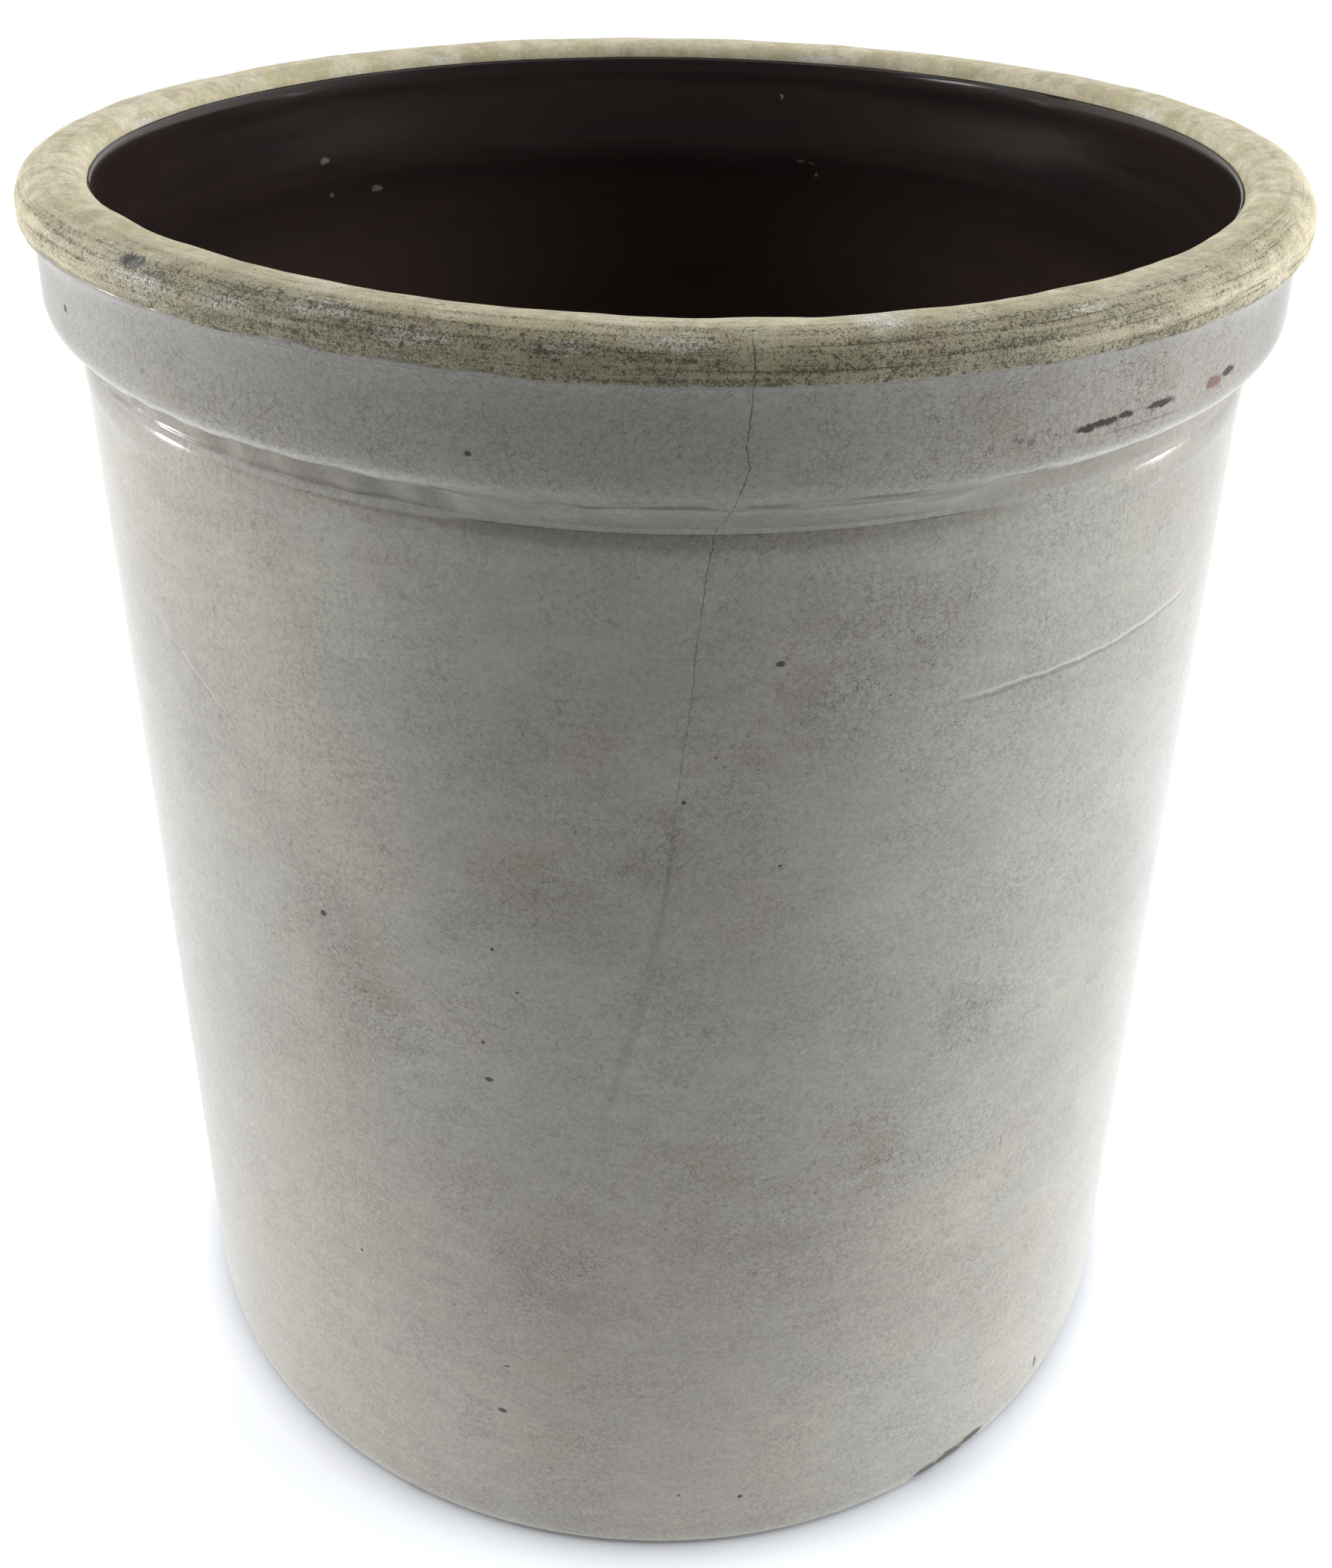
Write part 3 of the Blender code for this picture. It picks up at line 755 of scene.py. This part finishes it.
# Where the crazing is dirtiest the whole glass is stained a little.
soaked = add(glaze, "Math MULTIPLY", craze_patch, blush_grain)
soaked = add(glaze, "Math MULTIPLY", soaked, 0.28)
colour = add(glaze, "Mix RGBA", soaked, colour, CRAZE_RUST)
craze_colour = add(glaze, "Mix RGBA", blush, CRAZE_BROWN, CRAZE_RUST)
colour = add(glaze, "Mix RGBA", craze, colour, craze_colour)

# The two raised lines have a painted highlight along their crest and painted shade along their lower side.
turn_here = add(glaze, "Math MULTIPLY", round_turn, math.degrees(1))
line_shake = add(glaze, "MapRange", haze, 0, 1, -1.2, 1.2)
shaken_height = add(glaze, "Math ADD", height, line_shake)
for (line_from, line_to, line_height, line_rise), line_share in ((RIDGE, 0.8), (DRIP, 0.5)):
    line_end = line_height + (line_to - line_from) * line_rise
    line_at = add(glaze, "MapRange", turn_here, line_from, line_to, line_height, line_end)
    line_in = add(glaze, "MapRange", turn_here, line_from, line_from + 6, 0, line_share)
    line_out = add(glaze, "MapRange", turn_here, line_to - 3, line_to, 1, 0)
    line_seen = add(glaze, "Math MULTIPLY", line_in, line_out)
    for below, ink, ink_share in ((0.0, GLAZE_PAINTED_HIGHLIGHT, 0.5), (0.9, CRAZE_BROWN, 0.45)):
        line_off = add(glaze, "Math ADD", shaken_height, below)
        line_off = add(glaze, "Math SUBTRACT", line_off, line_at)
        line_off = add(glaze, "Math ABSOLUTE", line_off)
        line_drawn = add(glaze, "MapRange", line_off, 0.15, 0.6, ink_share, 0)
        line_drawn = add(glaze, "Math MULTIPLY", line_drawn, line_seen)
        colour = add(glaze, "Mix RGBA", line_drawn, colour, ink)

# Pinholes: iron pips 0.2 to 0.6 mm across, sprinkled thickest where the crazing is dirty.
pip = add(glaze, "TexVoronoi", mm, Scale=0.4)
pip_pick = add(glaze, "SeparateColor", pip.outputs["Color"])
pip_chance = add(glaze, "Math ADD", craze_zone, craze_patch)
pip_chance = add(glaze, "MapRange", pip_chance, 0.42, 1.1, 0.97, 0.66)
pip_size = add(glaze, "Math SUBTRACT", pip_pick.outputs[0], pip_chance)
pip_size = add(glaze, "MapRange", pip_size, 0, 0.12, 0, 0.12)
pip_inside = add(glaze, "Math SUBTRACT", pip_size, pip.outputs["Distance"])
pips = add(glaze, "MapRange", pip_inside, 0, 0.05, 0, 0.8)

# The crack runs down from the lip and fades out half way down the wall.
CRACK = [
    (5.9, 292.4), (5.8, 285.9), (5.9, 280.9), (5.6, 274.8), (5.9, 271.2), (5.1, 264.9), (4.6, 259.9),
    (4.0, 258.0), (3.3, 249.0), (2.7, 237.9), (2.4, 227.3), (1.8, 214.6), (1.3, 205.9), (0.9, 192.2),
    (0.3, 180.9), (-1.3, 160.6), (-3.4, 143.2), (-5.2, 128.7),
]
CRACK_LOW, CRACK_HIGH, CRACK_SWING = 128.7, 292.4, 10.0
crack_run = add(glaze, "MapRange", height, CRACK_LOW, CRACK_HIGH)
crack_curve = add(glaze, "FloatCurve", 1, crack_run)
bends = crack_curve.mapping.curves[0].points
for crack_turn, crack_height in CRACK:
    bends.new((crack_height - CRACK_LOW) / (CRACK_HIGH - CRACK_LOW), 0.5 + crack_turn / 2 / CRACK_SWING)
bends.remove(bends[0])
bends.remove(bends[-1])
for bend in bends:
    bend.handle_type = "VECTOR"
crack_curve.mapping.update()
crack_reach = CRACK_SWING * math.radians(COAT_RADIUS)
crack_turn_here = add(glaze, "MapRange", crack_curve, 0, 1, -crack_reach, crack_reach)
crack_shake = add(glaze, "TexNoise", mm, Scale=0.6, Detail=2)
crack_shake = add(glaze, "MapRange", crack_shake, 0, 1, -0.5, 0.5)
crack_off = add(glaze, "Math SUBTRACT", around, crack_turn_here)
crack_off = add(glaze, "Math ADD", crack_off, crack_shake)
crack_off = add(glaze, "Math ABSOLUTE", crack_off)
crack_width = add(glaze, "MapRange", height, 165, 205, 1.5, 0.15)
crack_near = add(glaze, "Math DIVIDE", crack_off, crack_width)
crack_line = add(glaze, "MapRange", crack_near, 0.2, 1, 1, 0)
crack_dark = add(glaze, "MapRange", height, 165, 262, 0.45, 0.9)
crack_show = add(glaze, "MapRange", mottle, 0.4, 0.6, 1, 0.7)
crack_depth = add(glaze, "Math MULTIPLY", crack_dark, crack_show)
crack_start = add(glaze, "MapRange", height, 124, 136)
crack = add(glaze, "Math MULTIPLY", crack_line, crack_depth)
crack = add(glaze, "Math MULTIPLY", crack, crack_start)

# Marks placed one by one: turn, height, width and tallness of each, all but the turn in millimetres.
MARKS = {
    "pip": [
        (9.3, 232.8, 1.7, 1.3), (10.1, 191.1, 1, 0.8), (1.9, 205.6, 1, 1), (-31.8, 166.9, 1.8, 1.5),
        (-14.5, 170, 0.8, 0.8), (-12.4, 160.5, 0.8, 0.8), (-15.8, 146.8, 1, 0.7), (-15.4, 137.6, 2.1, 1.2),
        (-31.3, 75.9, 1, 1), (-15, 55.8, 1.6, 0.7), (-15.7, 41, 2.6, 1.4), (2.7, 18.6, 0.8, 0.8),
        (9.2, 16.5, 1.4, 1.3), (-57, 277, 1.8, 1.7), (-13.6, 271.9, 1.3, 1),
    ],
    "streak": [
        (1, 263.3, 16, 1.2), (7.6, 263.5, 9, 1.1), (-16, 263, 12, 0.9), (16.5, 264, 14, 1),
        (-5, 263, 9, 0.8), (28, 264.4, 14, 0.8),
    ],
    "flake": [
        (32.3, 270.9, 6, 1.5), (34.2, 271.2, 7, 1.5), (36.3, 271.5, 4, 1.4), (40.2, 271.5, 8.5, 1.5),
        (50, 272.1, 5, 1.8),
    ],
    "rust": [(47.6, 271.3, 5.6, 2.6)],
    "stain": [
        (26, 271.4, 2.4, 0.9), (27.2, 270.5, 1.6, 1.8), (29.6, 270.9, 2, 0.8), (-43.4, 273.5, 1.6, 1.6),
    ],
    "hair": [(42.6, 264.2, 36, 0.30), (38.5, 269, 24, 0.6), (36.7, 103.4, 0.5, 5.5)],
    "foot_flake": [
        (32, 2.6, 9, 4.6), (35.2, 3.4, 11, 4.4), (38.6, 4.6, 9, 3.4), (50.5, 9.5, 1.2, 4.4),
        (-27, 1, 6, 1.2),
    ],
}
ragged = wobble(glaze, mm, Scale=0.8, Detail=3, Roughness=0.6)
flat_place = add(glaze, "CombineXYZ", around, height)
colour = add(glaze, "Mix RGBA", pips, colour, SOOT)
# The crack is sooty where it is open, and below that a soft bluish shadow in the glass.
crack_open = add(glaze, "MapRange", height, 170, 225)
crack_colour = add(glaze, "Mix RGBA", crack_open, CRACK_BLUE, SOOT)
colour = add(glaze, "Mix RGBA", crack, colour, crack_colour)
crack_cut = add(glaze, "Math MULTIPLY", crack, crack_open)
marks = add(glaze, "Math MAXIMUM", pips, crack_cut)
for kind, shake, share_drawn, ink in (
    ("pip", 0.6, 0.9, SOOT), ("streak", 2, 0.6, BARK), ("hair", 1, 0.4, SOOT), ("rust", 2.2, 0.85, RUST),
    ("stain", 3, 0.5, SOOT), ("flake", 1.7, 1, SOOT), ("foot_flake", 2, 0.8, SOOT),
):
    shaken = add(glaze, "VectorMath SCALE", ragged, shake)
    shaken = add(glaze, "VectorMath ADD", flat_place, shaken)
    shaken = add(glaze, "VectorMath MULTIPLY", shaken, (1, 1, 0))
    drawn = dabs(glaze, shaken, COAT_RADIUS, MARKS[kind], 0.7, 1.1, share_drawn)
    colour = add(glaze, "Mix RGBA", drawn, colour, ink)
    marks = add(glaze, "Math MAXIMUM", marks, drawn)

# Ripple: orange peel 4 mm across and 0.02 mm deep, with the craze lines and marks sunk in it.
peel = add(glaze, "TexNoise", mm, Scale=0.22, Detail=2, Roughness=0.4)
sunk = add(glaze, "Math MULTIPLY", craze, -0.35)
sunk_marks = add(glaze, "Math MULTIPLY", marks, -1)
relief = add(glaze, "Math ADD", peel, sunk)
relief = add(glaze, "Math ADD", relief, sunk_marks)
bump = add(glaze, "Bump", Strength=0.6, Distance=0.00005, Height=relief)
rough = add(glaze, "MapRange", mottle, 0.3, 0.7, 0.13, 0.24)
rough = add(glaze, "Mix", marks, rough, 0.6)
feed(glaze, glaze_shader, {"Base Color": colour, "Roughness": rough, "Normal": bump, "IOR": 1.5})
glaze_coat.data.materials.append(glaze)
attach(glaze_coat, "root")
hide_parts("outer_glaze")


# The inner coat is a dark brown slip glaze, poured in, rolled round and tipped out before firing.
# It is thin and glassy, ends just under the lip, and is nearly black up there; lower down a painted fill
# light makes it paler and browner.
SLIP_OUT, SLIP_UNDER = 1.0, 0.3
SLIP_COLUMNS = 480
slip_face = laid_on(inside_wall, SLIP_OUT)
slip_face[0, 0] = 0.0
slip_back = laid_on(inside_wall, SLIP_UNDER)[::-4]
slip_back[-1, 0] = 0.0
slip_face = slip_face[:-1].tolist()
slip_face += [[MOUTH_RADIUS - 0.7, MOUTH_EDGE - 0.4], [MOUTH_RADIUS - 0.25, MOUTH_EDGE + 0.3]]
slip_outline = slip_face + slip_back.tolist()
slip_turn = np.arange(SLIP_COLUMNS) * 360.0 / SLIP_COLUMNS - 180.0
slip_swell = np.zeros((len(slip_outline), SLIP_COLUMNS))
slip_heights = np.array(slip_face)[:, 1]
unevenness = 0.10 * uneven(slip_turn, slip_heights, 12, 45.0, 41)
slip_swell[: len(slip_face)] += unevenness * (slip_heights > 40)[:, None]
slip_coat = thrown("dark_slip_coat", slip_outline, SLIP_COLUMNS, slip_swell)
remove_spares(slip_coat)

# Brown slip glaze: an iron-rich clay melted to glass, almost black by the rim, with IOR 1.52, and paler
# lower down as painted fill light.
# Faint brown streaks follow the throwing, and grit and scratches show as grey flecks.
slip, slip_shader = surface("dark iron slip glaze")
SLIP_DARK, SLIP_BROWN, SLIP_PAINTED_FILL, SLIP_FLECK = "#282120", "#33271F", "#6B5A50", "#A39C92"
mm, axes, _, round_turn = placed(slip)
band_place = add(slip, "VectorMath MULTIPLY", mm, (0.012, 0.012, 0.16))
bands = add(slip, "TexNoise", band_place, Scale=1, Detail=4, Roughness=0.6)
brown = add(slip, "MapRange", bands, 0.42, 0.72, 0, 0.8)
slip_colour = add(slip, "Mix RGBA", brown, SLIP_DARK, SLIP_BROWN)
# Painted fill light: the slip turns paler and browner towards the bottom of the cavity.
painted_fill = add(slip, "MapRange", axes.outputs[2], 262, 190)
slip_colour = add(slip, "Mix RGBA", painted_fill, slip_colour, SLIP_PAINTED_FILL)
fleck = add(slip, "TexVoronoi", mm, Scale=0.09)
fleck_pick = add(slip, "SeparateColor", fleck.outputs["Color"])
fleck_size = add(slip, "MapRange", fleck_pick.outputs[0], 0.9, 1, 0, 0.1)
fleck_inside = add(slip, "Math SUBTRACT", fleck_size, fleck.outputs["Distance"])
flecks = add(slip, "MapRange", fleck_inside, 0, 0.05, 0, 0.6)
# Some are placed one by one: turn, height, width, tallness and strength of each.
GRIT = [
    (-130.4, 270.7, 3.2, 1.5, 0.4), (-137.8, 261.5, 3.4, 1.8, 0.4), (-130.6, 261.9, 1.6, 1, 0.3),
    (164.5, 280.9, 1.2, 1.2, 1), (158.8, 261.1, 1.2, 1, 0.4), (161.2, 264.5, 2.6, 0.35, 0.5),
    (159.6, 264.1, 1.8, 0.35, 0.5),
]
INNER_RADIUS = 114
around = add(slip, "Math MULTIPLY", round_turn, INNER_RADIUS)
inner_place = add(slip, "CombineXYZ", around, axes.outputs[2])
grit_shake = wobble(slip, mm, Scale=0.9, Detail=3, Roughness=0.7)
grit_shake = add(slip, "VectorMath MULTIPLY", grit_shake, (2.5, 2.5, 0))
inner_place = add(slip, "VectorMath ADD", inner_place, grit_shake)
for *grit, grit_share in GRIT:
    flecks = dabs(slip, inner_place, INNER_RADIUS, [grit], 0.6, 1.1, grit_share, flecks)
slip_colour = add(slip, "Mix RGBA", flecks, slip_colour, SLIP_FLECK)
ripple = add(slip, "TexNoise", mm, Scale=0.2, Detail=3)
bump = add(slip, "Bump", Strength=0.5, Distance=0.00008, Height=ripple)
rough = add(slip, "MapRange", bands, 0.3, 0.7, 0.12, 0.26)
feed(slip, slip_shader, {"Base Color": slip_colour, "Roughness": rough, "Normal": bump, "IOR": 1.52})
slip_coat.data.materials.append(slip)
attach(slip_coat, "root")
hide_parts("inner_slip_glaze")


# The table is a plain sheet of matt white paper that runs out of view on every side.
FLOOR_HALF = 6.0
SHEET_INSIDE, SHEET_OUTSIDE, SHEET_GLOW = 0.22, 0.52, 0.44
SHEET_WHITE, TABLE_GREY = "#CFD4DC", "#5A5A5A"
floor_mesh = bpy.data.meshes.new("white paper table")
floor_corners = [(x * FLOOR_HALF, y * FLOOR_HALF, 0) for x, y in ((-1, -1), (1, -1), (1, 1), (-1, 1))]
floor_mesh.from_pydata(floor_corners, [], [(0, 1, 2, 3)])
floor = bpy.data.objects.new("white paper table", floor_mesh)
bpy.context.scene.collection.objects.link(floor)
paper, paper_shader = surface("matt white paper")
feed(paper, paper_shader, {"Roughness": 0.9, "Specular IOR Level": 0.0})
light_path = add(paper, "LightPath").outputs
to_camera, to_gloss = light_path["Is Camera Ray"], light_path["Is Glossy Ray"]
spot = add(paper, "TexCoord").outputs["Object"]
spot = add(paper, "VectorMath LENGTH", spot)
# A white sheet lies under the crock, and the table round it takes little light.
far = add(paper, "MapRange", spot, SHEET_INSIDE, SHEET_OUTSIDE)
sheet = add(paper, "Mix RGBA", far, SHEET_WHITE, TABLE_GREY)
# It glows as a lit sheet does, and its glow also lights the crock from below. It looks white to the eye and
# in reflections, but at the foot its glow to the eye fades into a painted shadow.
# Painted shadow: the glow that the eye sees fades out towards the foot.
by_foot = add(paper, "MapRange", spot, 0.131, 0.20, 0.52, 0.72)
foot_shadow_fade = add(paper, "MapRange", spot, 0.1225, 0.131)
foot_shadow_fade = add(paper, "Math POWER", foot_shadow_fade, 0.45)
by_foot = add(paper, "Math MULTIPLY", by_foot, foot_shadow_fade)
to_eye = add(paper, "Mix", to_camera, SHEET_GLOW, by_foot)
seen = add(paper, "Math MAXIMUM", to_camera, to_gloss)
shine = add(paper, "Mix", to_camera, 1.05, 0.98)
shine = add(paper, "Math MULTIPLY", seen, shine)
glow = add(paper, "Mix", far, to_eye, shine)
feed(paper, paper_shader, {"Base Color": sheet, "Emission Color": (1, 1, 1, 1), "Emission Strength": glow})
floor_mesh.materials.append(paper)
floor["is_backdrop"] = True

# The room: white all round for the eye and for reflections, and dimmer in front, where the maker of the
# picture stood, so that most of the light comes from the sides and from behind.
world = bpy.data.worlds.new("white room")
bpy.context.scene.world = world
world.use_nodes = True
room = world.node_tree.nodes["Background"]
look = add(world, "TexCoord").outputs["Generated"]
look = add(world, "SeparateXYZ", look)
from_behind = add(world, "MapRange", look.outputs[1], -0.35, 0.75, 0.10, 0.85)
light_path = add(world, "LightPath").outputs
mirrored = add(world, "Math MAXIMUM", light_path["Is Glossy Ray"], light_path["Is Transmission Ray"])
behind = add(world, "MapRange", look.outputs[1], -0.5, 0.4, 0.10, 1)
mirrored = add(world, "Math MULTIPLY", mirrored, behind)
seen = add(world, "Math MAXIMUM", light_path["Is Camera Ray"], mirrored)
seen_white = add(world, "Math MAXIMUM", seen, from_behind)
feed(world, room, {"Color": (1, 1, 1, 1), "Strength": seen_white})


def hang(name, where, aim, power, wide, tall=None):
    """An area lamp that faces the crock's axis at the height it aims for, and that the camera can't see."""
    lamp = bpy.data.lights.new(name, "AREA")
    lamp.energy, lamp.size = power, wide
    if tall:
        lamp.shape, lamp.size_y = "RECTANGLE", tall
    light = bpy.data.objects.new(name, lamp)
    bpy.context.scene.collection.objects.link(light)
    light.location = where
    light.rotation_euler = (Vector((0.0, 0.0, aim)) - Vector(where)).to_track_quat("-Z", "Y").to_euler()
    light.visible_camera = False
    return light


# Two soft boxes stand to the sides and a little behind, and one hangs above. They aren't seen in the glaze.
for name, where, power, size in (
    ("left soft box", (-1.05, 0, 0.33), 15.0, 0.9), ("right soft box", (1.05, -0.05, 0.38), 17.5, 0.9),
    ("top soft box", (0, 0.55, 1.35), 2.5, 0.8),
):
    hang(name, where, 0.15, power, size).visible_glossy = False

# Two tall narrow windows and a small lamp are only seen as glints: on the shoulder under the neck to the
# left and right, and inside the mouth.
for name, where, power, wide, tall in (
    ("left window", (-1.065, 0.10, 0.24), 1.8, 0.05, 0.18),
    ("right window", (1.065, 0.10, 0.24), 3.2, 0.05, 0.18),
    ("mouth lamp", (-0.98, -0.28, 0.74), 0.9, 0.22, 0.06),
):
    hang(name, where, 0.25, power, wide, tall).visible_diffuse = False

# The camera looks down on the crock from arm's length, as in the photograph.
EYE = Vector((0, -0.3824, 0.3756))
LOOK_DOWN, LOOK_LEAN, LOOK_TURN = math.radians(28.1257), math.radians(0.6867), math.radians(0.1355)
level = math.cos(LOOK_TURN)
ahead = Vector((math.sin(LOOK_TURN), level * math.cos(LOOK_DOWN), -level * math.sin(LOOK_DOWN))).normalized()
side = ahead.cross(Vector((0, 0, 1))).normalized()
over = side.cross(ahead)
picture_side = side * math.cos(LOOK_LEAN) + over * math.sin(LOOK_LEAN)
picture_up = over * math.cos(LOOK_LEAN) - side * math.sin(LOOK_LEAN)
camera = bpy.data.objects.new("camera", bpy.data.cameras.new("camera"))
bpy.context.scene.collection.objects.link(camera)
camera.data.sensor_width = 36.0
camera.data.lens = 40.300
camera.data.shift_y = -188 / 2076
camera.data.clip_start = 0.01
facing_crock = Matrix((picture_side, picture_up, -ahead)).transposed()
camera.matrix_world = Matrix.Translation(EYE) @ facing_crock.to_4x4()
bpy.context.scene.camera = camera
bpy.context.scene.view_settings.view_transform = "Standard"

low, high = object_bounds()
